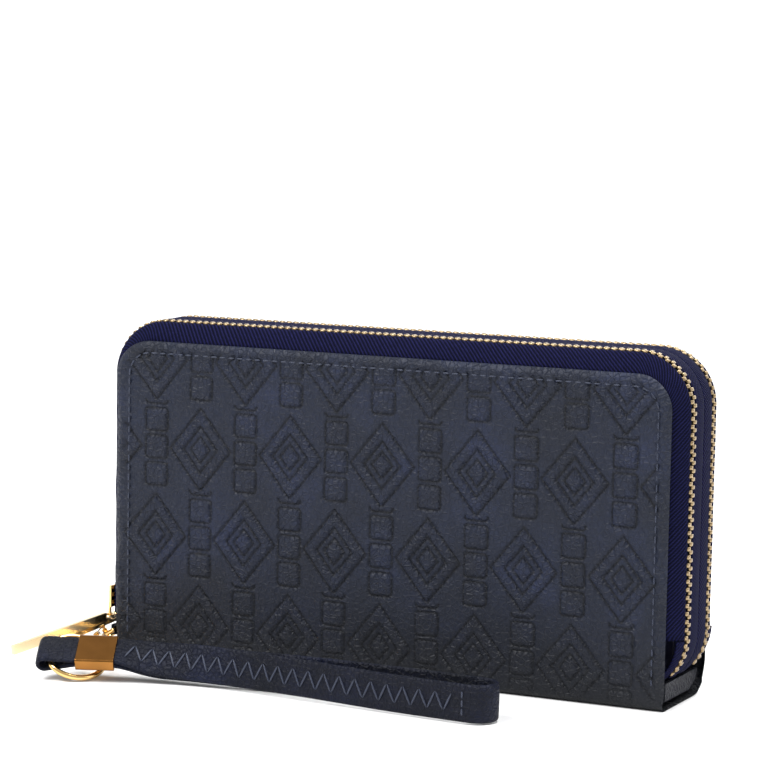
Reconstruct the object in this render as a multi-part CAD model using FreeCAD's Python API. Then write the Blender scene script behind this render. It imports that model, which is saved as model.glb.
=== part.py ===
"""Double zip-around wristlet wallet, standing on its base, with its wrist strap laid in front of it.

X runs along the width (+X to the right), Y is the depth (the front faces -Y) and Z is up.
The origin is on the flat underside, at the middle of the two covers.
"""
import FreeCAD, Part
import math
import os
from FreeCAD import Vector

# ---------------------------------------------------------------- driving sizes, in mm
panel_half_width = 94.0
panel_top = 101.0
panel_corner_radius = 11.0
half_depth = 19.5
leather = 1.6
lining = 0.8
cover_thickness = leather + lining

side_bulge = 4.2          # how far the zips stand out beyond the leather at each side
top_bulge = 6.0           # and above it
zip_corner_radius = 17.0
front_zip_y = -11.2
rear_zip_y = 6.5
tape = 0.6
teeth_depth = 1.8         # across the zip's path
teeth_width = 2.1         # one row, along Y
row_gap = 0.8             # between the two rows of one zip

split_z = 21.3            # the covers' own tapes start here
zip_low_z = 11.0          # the left ends of the zips
end_curve_angle = 50.0    # how far the right ends curve in under the wallet
spine_radius = 11.0
hinge_recess = 2.7        # the spine's hollow round each cover's rounded foot

divider = 1.3
divider_y = -2.35
pocket_card = 0.8

slider_rest_z = 16.0
slider_half_length = 3.6
link_pin_z = 14.6         # where each link hangs on its slider
link_wire = 1.1
strap_yaw = 22.0          # the clamp's heading, in plan
strap_tilt = 30.0         # how far the clamp's back edge is tipped up
clamp_centre = Vector(-75.8, -62.7, 8.1)
clamp_length = 12.0
clamp_width = 12.6
clamp_thickness = 4.2
clamp_sheet = 0.5
band = 1.5                # one thickness of strap leather
band_width = 11.4
fold_reach = 9.8          # from the clamp's end to the middle of the fold's eye
fold_drop = 0.9           # the eye hangs this far below the clamp's middle
ring_offset = 1.4         # the ring's middle, across the strap from the fold's middle
ring_slope = 15.0         # how steeply the ring dips away under the clamp
ring_radius = 9.1
ring_wire = 1.8
tab_y = -11.2             # the strap's tab and D-ring, along Y
d_ring_x = -97.4
d_ring_z = 5.2
d_ring_wire = 1.4
d_ring_tilt = 30.0        # how far it hangs down from level
d_ring_half = 5.2
d_ring_shoulder = 3.0     # the straight part of its arms
eye_radius = 2.4          # the swivel's eye
stem_radius = 1.0
barrel_x = 3.2            # hook sizes, measured from the middle of the swivel's eye
barrel_length = 13.0
hook_length = 43.0
eye_angle = 50.0          # where the eye sits round the strap's ring
hook_roll = 60.0          # how far the hook is rolled about its own length
hook_target = Vector(-100.0, -16.4, 3.7)

zip_side = panel_half_width + side_bulge
zip_top = panel_top + top_bulge
curve_start_z = split_z + 0.3
front_hinge = Vector(0, -half_depth + cover_thickness, cover_thickness)
rear_hinge = Vector(0, half_depth - cover_thickness, spine_radius)
cover_inner = half_depth - cover_thickness
divider_front = divider_y - divider / 2
divider_back = divider_y + divider / 2
X_AXIS = Vector(1, 0, 0)
Y_AXIS = Vector(0, 1, 0)
Z_AXIS = Vector(0, 0, 1)


# ---------------------------------------------------------------- helpers
def save(name, shape):
    """Write one piece as parts/NAME.step."""
    shape.exportStep("parts/%s.step" % name)


def box(x0, x1, y0, y1, z0, z1):
    return Part.makeBox(x1 - x0, y1 - y0, z1 - z0, Vector(x0, y0, z0))


def cylinder_x(centre, radius, half_length):
    return Part.makeCylinder(radius, 2 * half_length, Vector(-half_length, centre.y, centre.z), X_AXIS)


def arch_wire(y, side, top, radius, low):
    """A closed outline in the plane y: upright sides, a flat top and two round top corners."""
    diagonal = radius * math.sqrt(0.5)
    corner_x = side - radius
    corner_z = top - radius
    right_arc = Part.Arc(Vector(side, y, corner_z), Vector(corner_x + diagonal, y, corner_z + diagonal),
                         Vector(corner_x, y, top))
    left_arc = Part.Arc(Vector(-corner_x, y, top), Vector(-corner_x - diagonal, y, corner_z + diagonal),
                        Vector(-side, y, corner_z))
    edges = [Part.makeLine(Vector(-side, y, low), Vector(side, y, low)),
             Part.makeLine(Vector(side, y, low), Vector(side, y, corner_z)),
             right_arc.toShape(),
             Part.makeLine(Vector(corner_x, y, top), Vector(-corner_x, y, top)),
             left_arc.toShape(),
             Part.makeLine(Vector(-side, y, corner_z), Vector(-side, y, low))]
    return Part.Wire(edges)


def plate(y0, y1, side, top, radius, low):
    """An arch outline filled in and given the thickness y0 to y1."""
    return Part.Face(arch_wire(y0, side, top, radius, low)).extrude(Vector(0, y1 - y0, 0))


def panel_plate(y0, y1, inset, low):
    """A plate that follows the leather panel's outline, drawn in by inset."""
    return plate(y0, y1, panel_half_width - inset, panel_top - inset, panel_corner_radius - inset, low)


def zip_ribbon(y0, y1, outer, inner, low):
    """A strip bent over the wallet along the zips' path, between two distances from that path."""
    over = plate(y0, y1, zip_side + outer, zip_top + outer, zip_corner_radius + outer, low)
    under = plate(y0, y1, zip_side + inner, zip_top + inner, zip_corner_radius + inner, low)
    return over.cut(under)


def right_end_curve(y0, y1, outer, inner, start_angle=0.0):
    """The same strip's right end, curving in under the wallet."""
    centre_x = zip_side - zip_corner_radius

    def point(radius, degrees):
        angle = math.radians(degrees)
        return Vector(centre_x + radius * math.cos(angle), y0, curve_start_z - radius * math.sin(angle))

    radii = (zip_corner_radius + outer, zip_corner_radius + inner)
    middle = (start_angle + end_curve_angle) / 2
    arcs = [Part.Arc(point(radius, start_angle), point(radius, middle),
                     point(radius, end_curve_angle)).toShape() for radius in radii]
    ends = [Part.makeLine(point(radii[0], angle), point(radii[1], angle))
            for angle in (start_angle, end_curve_angle)]
    outline = Part.Wire(Part.__sortEdges__([arcs[0], ends[0], arcs[1], ends[1]]))
    return Part.Face(outline).extrude(Vector(0, y1 - y0, 0))


def sloped_tape(y_edge, y_zip, low):
    """The tape from the leather's edge (y_edge) up to the zip (y_zip): a lofted shell."""
    edge_out = 0.9

    def shell_wire(y, rise, radius, inset):
        return arch_wire(y, panel_half_width + rise[0] - inset, panel_top + rise[1] - inset,
                         radius - inset, low)

    start = (edge_out, edge_out)
    full = (side_bulge, top_bulge)
    outer = Part.makeLoft([shell_wire(y_edge, start, panel_corner_radius + edge_out, 0),
                           shell_wire(y_zip, full, zip_corner_radius, 0)], True, True)
    inner = Part.makeLoft([shell_wire(y_edge, start, panel_corner_radius + edge_out, tape),
                           shell_wire(y_zip, full, zip_corner_radius, tape)], True, True)
    return outer.cut(inner)


def lofted_strip(sections, ruled):
    """A strip through rectangular sections, each (centre, across, through) with half vectors."""
    wires = []
    for centre, across, through in sections:
        corners = [centre - across - through, centre + across - through,
                   centre + across + through, centre - across + through]
        wires.append(Part.makePolygon(corners + [corners[0]]))
    return Part.makeLoft(wires, True, ruled)


def turned(shape, base, x_to, z_to):
    """Place a shape drawn at the origin: its X axis along x_to and its Z axis along z_to."""
    x_dir = Vector(x_to).normalize()
    z_dir = Vector(z_to).normalize()
    rotation = FreeCAD.Rotation(x_dir, z_dir.cross(x_dir), z_dir, "XZY")
    placed = shape.copy()
    placed.Placement = FreeCAD.Placement(base, rotation)
    return placed


def oval_ring(length, width, wire):
    """An oval ring of round wire in the XY plane: two straights and two half turns."""
    radius = width / 2
    reach = max(length / 2 - radius, 0)
    profile = Part.Wire(Part.makeCircle(wire / 2, Vector(reach, radius, 0), X_AXIS))
    if reach < 0.05:
        return Part.makeTorus(radius, wire / 2)
    path = Part.Wire([Part.makeLine(Vector(reach, radius, 0), Vector(-reach, radius, 0)),
                      Part.Arc(Vector(-reach, radius, 0), Vector(-reach - radius, 0, 0),
                               Vector(-reach, -radius, 0)).toShape(),
                      Part.makeLine(Vector(-reach, -radius, 0), Vector(reach, -radius, 0)),
                      Part.Arc(Vector(reach, -radius, 0), Vector(reach + radius, 0, 0),
                               Vector(reach, radius, 0)).toShape()])
    return path.makePipeShell([profile], True, False)


# ---------------------------------------------------------------- covers
def cover_foot(hinge, side):
    """The quarter round that ends a leather panel at its hinge; side is -1 in front, 1 behind."""
    tube = cylinder_x(hinge, cover_thickness, panel_half_width)
    tube = tube.cut(cylinder_x(hinge, lining, panel_half_width))
    reach = 2 * cover_thickness
    near = sorted((hinge.y, hinge.y + side * reach))
    return tube.common(box(-panel_half_width, panel_half_width, near[0], near[1], hinge.z - reach, hinge.z))


def covers():
    front_face = sorted((-half_depth, -half_depth + leather))
    front_panel = panel_plate(front_face[0], front_face[1], 0, front_hinge.z)
    front_panel = front_panel.fuse(cover_foot(front_hinge, -1))
    save("front_panel", front_panel.removeSplitter())
    rear_panel = panel_plate(half_depth - leather, half_depth, 0, rear_hinge.z)
    rear_panel = rear_panel.fuse(cover_foot(rear_hinge, 1))
    save("rear_panel", rear_panel.removeSplitter())
    save("front_lining", panel_plate(-half_depth + leather, -cover_inner, lining * 2, front_hinge.z))
    save("rear_lining", panel_plate(cover_inner, half_depth - leather, lining * 2, rear_hinge.z))


def outer_tapes():
    """The half of each zip that belongs to a cover: its tape and its row of teeth."""
    flange_out = 0.9
    for name, side, zip_y in (("front", -1, front_zip_y), ("rear", 1, rear_zip_y)):
        row_outer = zip_y + side * (row_gap / 2 + teeth_width)
        row_inner = zip_y + side * row_gap / 2
        panel_back = side * (half_depth - leather)
        flange_y = sorted((panel_back, side * cover_inner))
        flange = plate(flange_y[0], flange_y[1], panel_half_width + flange_out, panel_top + flange_out,
                       panel_corner_radius + flange_out, split_z)
        inset = lining * 2
        flange = flange.cut(plate(flange_y[0], flange_y[1], panel_half_width - inset, panel_top - inset,
                                  panel_corner_radius - inset, split_z))
        slope = sloped_tape(side * cover_inner, row_outer, split_z)
        save(name + "_tape_outer", flange.fuse(slope).removeSplitter())
        row_y = sorted((row_inner, row_outer))
        save(name + "_teeth_outer", zip_ribbon(row_y[0], row_y[1], 0.6, 0.6 - teeth_depth, split_z))


def card_pockets():
    """Two columns of three stepped card pockets sewn to the front cover's lining."""
    column_half_width = 40.0
    column_centre = 44.5
    first_top = 88.0
    step = 14.0
    for column, centre in (("left", -column_centre), ("right", column_centre)):
        for index in range(3):
            y0 = -cover_inner + index * pocket_card
            save("card_pocket_%s_%d" % (column, index + 1),
                 box(centre - column_half_width, centre + column_half_width, y0, y0 + pocket_card,
                     24.0, first_top - step * index))
    save("rear_note_pocket", box(-86, 86, cover_inner - pocket_card, cover_inner, 24.0, 80.0))


# ---------------------------------------------------------------- base, divider and inner halves
def spine():
    """The leather base: flat underneath, rounding up at the back, hollowed round both cover feet."""
    front_y = front_hinge.y + 1.0
    flat_end = half_depth - spine_radius
    slant = math.sqrt(0.5)

    def outline(thickness_in):
        radius = spine_radius - thickness_in
        return (Part.makeLine(Vector(0, front_y, thickness_in), Vector(0, flat_end, thickness_in)),
                Part.Arc(Vector(0, flat_end, thickness_in),
                         Vector(0, flat_end + radius * slant, spine_radius - radius * slant),
                         Vector(0, flat_end + radius, spine_radius)).toShape())

    outer_flat, outer_arc = outline(0)
    inner_flat, inner_arc = outline(leather)
    front_end = Part.makeLine(Vector(0, front_y, 0), Vector(0, front_y, leather))
    back_end = Part.makeLine(Vector(0, half_depth, spine_radius),
                             Vector(0, half_depth - leather, spine_radius))
    face = Part.Face(Part.Wire(Part.__sortEdges__([outer_flat, outer_arc, back_end, inner_arc, inner_flat,
                                                   front_end])))
    half_length = panel_half_width - 0.6
    solid = face.extrude(Vector(2 * half_length, 0, 0))
    solid.translate(Vector(-half_length, 0, 0))
    for hinge in (front_hinge, rear_hinge):
        solid = solid.cut(cylinder_x(hinge, hinge_recess, panel_half_width + 1))
    save("spine", solid.removeSplitter())


def end_tabs():
    """The dark leather tabs that close the wallet's lower ends, standing on the spine's inside."""
    outline = [Vector(0, -13.4, leather), Vector(0, 8.0, leather), Vector(0, 13.2, 3.6),
               Vector(0, 15.4, 7.4), Vector(0, -13.4, 7.4)]
    face = Part.Face(Part.makePolygon(outline + [outline[0]]))
    thickness = 1.4
    right = face.extrude(Vector(thickness, 0, 0))
    right.translate(Vector(91.2, 0, 0))
    left = face.extrude(Vector(thickness, 0, 0))
    left.translate(Vector(-91.2 - thickness, 0, 0))
    save("end_tab_right", right)
    save("end_tab_left", left)


def divider_board():
    """The stiff board between the two compartments, out to the zip tapes."""
    board = plate(divider_front, divider_back, zip_side, zip_top, zip_corner_radius, curve_start_z)
    foot = box(-90.8, 90.8, divider_front, divider_back, leather, curve_start_z)
    save("divider", board.fuse(foot).removeSplitter())


def inner_tapes():
    """The halves of the zips that are sewn to the divider, with both lower ends."""
    for name, side, zip_y in (("front", -1, front_zip_y), ("rear", 1, rear_zip_y)):
        row_inner = zip_y - side * row_gap / 2
        row_edge = row_inner - side * teeth_width
        face = divider_front if side < 0 else divider_back
        for kind, ends, outer, inner in (("tape", (row_edge, face), 0.0, -tape),
                                         ("teeth", (row_inner, row_edge), 0.6, 0.6 - teeth_depth)):
            y0, y1 = sorted(ends)
            strip = zip_ribbon(y0, y1, outer, inner, curve_start_z)
            left = box(-zip_side - outer, -zip_side - inner, y0, y1, zip_low_z, curve_start_z)
            right = right_end_curve(y0, y1, outer, inner)
            save("%s_%s_inner" % (name, kind), strip.fuse(left).fuse(right).removeSplitter())


def outer_end_pieces():
    """The fixed lower ends of the cover-side tapes and teeth, which stay with the base."""
    clearance = 0.3
    edge_clearance = 2.4
    for name, side, zip_y in (("front", -1, front_zip_y), ("rear", 1, rear_zip_y)):
        row_inner = zip_y + side * row_gap / 2
        row_outer = row_inner + side * teeth_width
        tape_edge = side * (cover_inner - edge_clearance)
        for kind, ends, outer, inner in (("tape", (row_outer, tape_edge), 0.0, -tape),
                                         ("teeth", (row_inner, row_outer), 0.6, 0.6 - teeth_depth)):
            y0, y1 = sorted(ends)
            left = box(-zip_side - outer, -zip_side - inner, y0, y1, zip_low_z, split_z - clearance)
            save("%s_%s_end_left" % (name, kind), left)
            right = right_end_curve(y0, y1, outer, inner, 2.2)
            save("%s_%s_end_right" % (name, kind), right)


def coin_pocket():
    """A zipped coin pocket on the back of the divider: two walls, two tapes, two rows of teeth."""
    half = 82.0
    wall_y = divider_back + 4.4
    zip_z = 74.0
    low = 14.0
    top = 88.0
    side_wall = 1.0
    lower = box(-half, half, wall_y, wall_y + 0.6, low, zip_z - 6.5)
    for x0 in (-half, half - side_wall):
        lower = lower.fuse(box(x0, x0 + side_wall, divider_back, wall_y, low, zip_z - 6.5))
    lower = lower.fuse(box(-half, half, divider_back, wall_y, low, low + side_wall))
    save("coin_pocket_wall", lower.removeSplitter())
    upper = box(-half, half, wall_y, wall_y + 0.6, zip_z + 6.5, top)
    upper = upper.fuse(box(-half, half, divider_back, wall_y + 0.6, top - side_wall, top))
    save("coin_pocket_band", upper.removeSplitter())
    save("coin_tape_lower", box(-half, half, wall_y, wall_y + 0.6, zip_z - 6.5, zip_z - 2.5))
    save("coin_tape_upper", box(-half, half, wall_y, wall_y + 0.6, zip_z + 2.5, zip_z + 6.5))
    save("coin_teeth_lower", box(-half + 4, half - 4, wall_y - 0.4, wall_y + 1.0, zip_z - 2.5, zip_z - 0.4))
    save("coin_teeth_upper", box(-half + 4, half - 4, wall_y - 0.4, wall_y + 1.0, zip_z + 0.4, zip_z + 2.5))
    slider_x = -70.0
    outer_plate = box(slider_x - 4, slider_x + 4, wall_y + 1.3, wall_y + 2.1, zip_z - 3.6, zip_z + 3.6)
    inner_plate = box(slider_x - 4, slider_x + 4, wall_y - 1.5, wall_y - 0.7, zip_z - 3.6, zip_z + 3.6)
    neck = box(slider_x + 1.5, slider_x + 4, wall_y - 1.5, wall_y + 2.1, zip_z - 0.2, zip_z + 0.2)
    pin = Part.makeCylinder(0.6, 4.0, Vector(slider_x - 2.0, wall_y + 3.2, zip_z), X_AXIS)
    posts = box(slider_x - 2.6, slider_x - 2.0, wall_y + 2.1, wall_y + 3.8, zip_z - 0.6, zip_z + 0.6)
    posts = posts.fuse(box(slider_x + 2.0, slider_x + 2.6, wall_y + 2.1, wall_y + 3.8,
                           zip_z - 0.6, zip_z + 0.6))
    save("coin_slider", outer_plate.fuse(inner_plate).fuse(neck).fuse(pin).fuse(posts).removeSplitter())
    pull = box(slider_x - 1.7, slider_x + 1.7, wall_y + 2.6, wall_y + 3.8, zip_z - 20.0, zip_z)
    pull = pull.fuse(Part.makeCylinder(1.0, 3.4, Vector(slider_x - 1.7, wall_y + 3.2, zip_z), X_AXIS))
    pull = pull.cut(Part.makeCylinder(0.66, 4.0, Vector(slider_x - 2.0, wall_y + 3.2, zip_z), X_AXIS))
    pull = pull.cut(box(slider_x - 3, slider_x + 3, wall_y, wall_y + 2.4, zip_z - 30, zip_z + 3))
    save("coin_pull", pull.removeSplitter())


# ---------------------------------------------------------------- sliders and pulls


def slider(name, zip_y):
    """A zip slider on the left side: two plates, a neck between the rows, and a bail with its bar."""
    low = slider_rest_z - slider_half_length
    high = slider_rest_z + slider_half_length
    half = 3.9
    outer_face = -zip_side - 0.6
    inner_face = -zip_side - 0.6 + teeth_depth
    inner_half = 2.3
    gap = 0.25
    bail_x = outer_face - gap - 0.8
    bail_out = bail_x - 1.95
    outer_plate = box(bail_x, outer_face - gap, zip_y - half, zip_y + half, low, high)
    inner_plate = box(inner_face + gap, inner_face + gap + 0.9, zip_y - inner_half, zip_y + inner_half,
                      low, high)
    neck = box(outer_face - gap - 0.5, inner_face + gap + 0.5, zip_y - 0.2, zip_y + 0.2, low, low + 3.0)
    foot_high = box(bail_out, bail_x, zip_y - 0.7, zip_y + 0.7, link_pin_z + 1.7, link_pin_z + 2.5)
    foot_low = box(bail_out, bail_x, zip_y - 0.7, zip_y + 0.7, link_pin_z - 1.5, link_pin_z - 0.7)
    bar = box(bail_out, bail_out + 0.6, zip_y - 0.7, zip_y + 0.7, link_pin_z - 1.5, link_pin_z + 2.5)
    body = outer_plate.fuse(inner_plate).fuse(neck).fuse(foot_high).fuse(foot_low).fuse(bar)
    save("slider_" + name, body.removeSplitter())
    return Vector(bail_x - 0.675, zip_y, link_pin_z)


def pull_set(name, zip_y, tip, eye_offset):
    """The slider, the oval link that hangs from its bail, and the long flat pull bar on the link."""
    pin = slider(name, zip_y)
    link_height = 7.4
    link_width = 5.4
    centre = pin + Vector(0, 0, -link_height / 2 + link_wire / 2)
    link = oval_ring(link_height - link_wire, link_width - link_wire, link_wire)
    save("link_" + name, turned(link, centre, Z_AXIS, X_AXIS))
    eye = centre + eye_offset
    direction = (tip - eye).normalize()
    up = (Z_AXIS - direction * direction.z).normalize()
    eye_radius = 1.5
    eye_ring = turned(Part.makeTorus(eye_radius, 0.45), eye, direction, up)
    start = eye + direction * (eye_radius + 0.1)
    length = (tip - start).Length
    blade = turned(Part.makeBox(length, 1.5, 3.0, Vector(0, -0.75, -1.5)), start, direction, up)
    save("pull_bar_" + name, blade.fuse(eye_ring).removeSplitter())


# ---------------------------------------------------------------- wrist strap and its hook
yaw = math.radians(strap_yaw)
tilt = math.radians(strap_tilt)
strap_along = Vector(math.cos(yaw), math.sin(yaw), 0)
strap_level = Vector(-math.sin(yaw), math.cos(yaw), 0)
strap_across = strap_level * math.cos(tilt) + Z_AXIS * math.sin(tilt)
strap_normal = strap_along.cross(strap_across)
slope = math.radians(ring_slope)
ring_along = strap_along * math.cos(slope) - strap_normal * math.sin(slope)
ring_normal = ring_along.cross(strap_across)
fold_eye = clamp_centre - strap_along * (clamp_length / 2 + fold_reach) - strap_normal * fold_drop
ring_centre = fold_eye + ring_along * ring_radius + strap_across * ring_offset
swivel_eye = (ring_centre + ring_along * (ring_radius * math.cos(math.radians(eye_angle)))
              + strap_across * (ring_radius * math.sin(math.radians(eye_angle))))
hook_along = (hook_target - swivel_eye).normalize()
hook_level_up = (Z_AXIS - hook_along * hook_along.z).normalize()
hook_up = FreeCAD.Rotation(hook_along, hook_roll).multVec(hook_level_up)


def strap_tab_and_ring():
    """The leather tab at the wallet's left end and the flat D-ring that it holds."""
    tab = box(d_ring_x - 1.8, -92.6, tab_y - 3.6, tab_y + 3.6, d_ring_z - 1.7, d_ring_z + 1.7)
    tunnel = box(d_ring_x - 1.2, d_ring_x + 1.2, tab_y - 4.0, tab_y + 4.0, d_ring_z - 1.1, d_ring_z + 1.1)
    save("strap_tab", tab.cut(tunnel))
    shoulder = d_ring_shoulder
    corners = [Vector(0, -d_ring_half, 0), Vector(0, d_ring_half, 0)]
    shoulders = [Vector(shoulder, -d_ring_half, 0), Vector(shoulder, d_ring_half, 0)]
    bow = Part.Wire([Part.makeLine(corners[0], shoulders[0]),
                     Part.Arc(shoulders[0], Vector(shoulder + d_ring_half, 0, 0), shoulders[1]).toShape(),
                     Part.makeLine(shoulders[1], corners[1])])
    profile = Part.Wire(Part.makeCircle(d_ring_wire / 2, corners[0], X_AXIS))
    ring = bow.makePipeShell([profile], True, False)
    ring = ring.fuse(Part.makeCylinder(d_ring_wire / 2, 2 * d_ring_half, corners[0], Y_AXIS))
    for corner in corners:
        ring = ring.fuse(Part.makeSphere(d_ring_wire / 2, corner))
    angle = math.radians(d_ring_tilt)
    hang = Vector(-math.cos(angle), 0, -math.sin(angle))
    upright = Vector(-math.sin(angle), 0, math.cos(angle))
    save("d_ring", turned(ring.removeSplitter(), Vector(d_ring_x, tab_y, d_ring_z), hang, upright))


def clamp():
    """The bent sheet-metal clamp that grips the strap's two ends and its fold."""
    outer = Part.makeBox(clamp_length, clamp_width, clamp_thickness,
                         Vector(-clamp_length / 2, -clamp_width / 2, -clamp_thickness / 2))
    upright = [edge for edge in outer.Edges if abs(edge.tangentAt(edge.FirstParameter).x) > 0.9]
    outer = outer.makeFillet(0.9, upright)
    hole = Part.makeBox(clamp_length + 2, clamp_width - 2 * clamp_sheet, clamp_thickness - 2 * clamp_sheet,
                        Vector(-clamp_length / 2 - 1, -clamp_width / 2 + clamp_sheet,
                               -clamp_thickness / 2 + clamp_sheet))
    save("strap_clamp", turned(outer.cut(hole), clamp_centre, strap_along, strap_normal))


def strap_fold():
    """The short leather fold that holds the ring: flat inside the clamp, a round eye at its end."""
    eye_x = -clamp_length / 2 - fold_reach
    eye_outer = 3.2
    eye_inner = eye_outer - band
    gap_half = 0.05
    outer_half = gap_half + band
    inside_end = -0.2
    half = band_width / 2
    eye = Part.makeCylinder(eye_outer, 2 * half, Vector(eye_x, -half, -fold_drop), Y_AXIS)
    neck_x = -clamp_length / 2 - 0.6
    body = eye.cut(Part.makeBox(6, 20, 12, Vector(eye_x, -10, -6)))
    for sign in (1, -1):
        top = Vector(eye_x, -half, -fold_drop + sign * eye_outer)
        profile = Part.makePolygon([top, Vector(neck_x, -half, sign * outer_half),
                                    Vector(inside_end, -half, sign * outer_half),
                                    Vector(inside_end, -half, sign * gap_half),
                                    Vector(neck_x, -half, sign * gap_half),
                                    Vector(eye_x, -half, -fold_drop + sign * eye_inner), top])
        body = body.fuse(Part.Face(profile).extrude(Vector(0, 2 * half, 0)))
    body = body.fuse(Part.makeBox(4.0, 2 * half, 2 * gap_half, Vector(-4.2, -half, -gap_half)))
    body = body.cut(Part.makeCylinder(eye_inner, 2 * half, Vector(eye_x, -half, -fold_drop), Y_AXIS))
    body = turned(body.removeSplitter(), clamp_centre, strap_along, strap_normal)
    groove = turned(Part.makeTorus(ring_radius, ring_wire / 2 + 0.3), ring_centre, ring_along, ring_normal)
    save("strap_fold", body.cut(groove))


def strap_sections():
    """Sections of the strap's front and back runs, from inside the clamp to the far bend.

    Each stop is (x, y, height of the lower edge, lean from upright in degrees, gap between the runs).
    """
    stops = [(-58.0, -57.2, 2.3, 40, 0.1), (-46.0, -55.3, 1.4, 24, 0.4), (-30.0, -55.0, 0.8, 11, 1.8),
             (-8.0, -57.2, 0.8, 4, 5.4), (22.0, -60.0, 0.3, 0, 9.0), (50.0, -62.4, 0.3, 0, 10.0)]
    clamp_stops = (0.1, clamp_length / 2 + 1.0)
    front = []
    back = []
    for reach in clamp_stops:
        centre = clamp_centre + strap_along * reach
        half_through = strap_normal * (band / 2)
        offset = strap_normal * (band / 2 + 0.05)
        front.append((centre + offset, strap_across * (band_width / 2), half_through))
        back.append((centre - offset, strap_across * (band_width / 2), half_through))
    before = front[-1][0]
    for index, (x, y, low, lean_degrees, gap) in enumerate(stops):
        lean = math.radians(lean_degrees)
        rise = band_width / 2 * math.cos(lean) + band / 2 * math.sin(lean)
        centre = Vector(x, y, low + rise)
        last = index + 1 == len(stops)
        after = stops[min(index + 1, len(stops) - 1)]
        heading = X_AXIS if last else Vector(after[0] - before.x, after[1] - before.y, 0)
        heading = Vector(heading).normalize()
        level = Vector(-heading.y, heading.x, 0)
        across = level * math.sin(lean) + Z_AXIS * math.cos(lean)
        through = heading.cross(across).normalize()
        front.append((centre, across * (band_width / 2), through * (band / 2)))
        back.append((centre - through * (band + gap), across * (band_width / 2), through * (band / 2)))
        before = centre
    return front, back


def strap_runs():
    """The two long runs of the wrist strap and the bend that joins them at the far end."""
    front, back = strap_sections()
    save("strap_front_run", lofted_strip(front, True))
    save("strap_back_run", lofted_strip(back, True))
    start = front[-1][0]
    middle = (start + back[-1][0]) * 0.5
    radius = (start - middle).Length
    low = start.z - band_width / 2
    base = Vector(middle.x, middle.y, low)
    tube = Part.makeCylinder(radius + band / 2, band_width, base)
    tube = tube.cut(Part.makeCylinder(radius - band / 2, band_width, base))
    save("strap_end_bend", tube.common(box(middle.x, middle.x + 20, middle.y - 20, middle.y + 20,
                                           low, low + band_width)))


# ---------------------------------------------------------------- snap hook between strap and wallet
def hook_frame(shape):
    """Place a shape drawn along the hook's own X axis."""
    return turned(shape, swivel_eye, hook_along, hook_up)


def swivel():
    """The eye that holds the strap's ring, on a headed stem that turns in the hook's barrel."""
    eye = turned(Part.makeTorus(eye_radius, 0.7), Vector(0, 0, 0), X_AXIS, Y_AXIS)
    head_x = barrel_x + barrel_length + 0.3
    stem = Part.makeCylinder(stem_radius, head_x - eye_radius, Vector(eye_radius, 0, 0), X_AXIS)
    head = Part.makeCylinder(1.6, 0.9, Vector(head_x, 0, 0), X_AXIS)
    save("hook_swivel", hook_frame(eye.fuse(stem).fuse(head).removeSplitter()))


def hook():
    """The snap hook's body with its barrel and the gap for the gate, and the gate itself."""
    half = 3.3
    half_thickness = 0.85
    inner_half = 1.8
    tip_x = barrel_x + hook_length
    hole_start = barrel_x + barrel_length
    frame_start = hole_start - 1.6
    body = Part.makeBox(tip_x - half - frame_start, 2 * half, 2 * half_thickness,
                        Vector(frame_start, -half, -half_thickness))
    body = body.fuse(Part.makeCylinder(half, 2 * half_thickness, Vector(tip_x - half, 0, -half_thickness)))
    body = body.fuse(Part.makeCone(1.9, 2.6, barrel_length, Vector(barrel_x, 0, 0), X_AXIS))
    hole = Part.makeBox(tip_x - half - hole_start, 2 * inner_half, 8, Vector(hole_start, -inner_half, -4))
    hole = hole.fuse(Part.makeCylinder(inner_half, 8, Vector(tip_x - half, 0, -4)))
    body = body.cut(hole)
    pin = Vector(hole_start + 2.0, (half + inner_half) / 2, -half_thickness)
    gate_half_thickness = 0.35
    fork = 0.1
    gate_end = tip_x - half - 1.5
    slot = Part.makeBox(gate_end - pin.x + 1.9, 4.0, 2 * (gate_half_thickness + fork),
                        Vector(pin.x - 1.4, inner_half - 0.6, -gate_half_thickness - fork))
    gap = Part.makeBox(gate_end - pin.x - 1.3, 4.0, 8, Vector(pin.x + 1.8, inner_half - 0.6, -4))
    bore = Part.makeCylinder(stem_radius + 0.06, barrel_length + 2, Vector(barrel_x - 1, 0, 0), X_AXIS)
    body = body.cut(slot).cut(gap).cut(bore).fuse(Part.makeCylinder(0.5, 2 * half_thickness, pin))
    save("hook_body", hook_frame(body.removeSplitter()))
    gate = Part.makeBox(gate_end - pin.x, half - inner_half - 0.6, 2 * gate_half_thickness,
                        Vector(pin.x, inner_half + 0.3, -gate_half_thickness))
    knuckle = Vector(pin.x, pin.y, -gate_half_thickness)
    gate = gate.fuse(Part.makeCylinder(0.9, 2 * gate_half_thickness, knuckle))
    gate = gate.cut(Part.makeCylinder(0.56, 8, Vector(pin.x, pin.y, -4)))
    save("hook_gate", hook_frame(gate.removeSplitter()))


def strap_ring():
    ring = Part.makeTorus(ring_radius, ring_wire / 2)
    save("strap_ring", turned(ring, ring_centre, ring_along, ring_normal))


# ---------------------------------------------------------------- build
os.makedirs("parts", exist_ok=True)
covers()
outer_tapes()
card_pockets()
spine()
end_tabs()
divider_board()
inner_tapes()
outer_end_pieces()
coin_pocket()
pull_set("front", front_zip_y, Vector(-114.7, -49.8, 2.6), Vector(-0.35, -1.9, -2.2))
pull_set("rear", rear_zip_y, Vector(-111.3, -33.5, 2.2), Vector(-0.35, -1.9, -2.2))
strap_tab_and_ring()
clamp()
strap_fold()
strap_runs()
strap_ring()
swivel()
hook()
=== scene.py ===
"""Looks for the zip-around wristlet wallet: leather skins, zips, metalwork, strap, studio and camera."""
import bpy
import math
import numpy as np
from mathutils import Matrix, Vector


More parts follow.
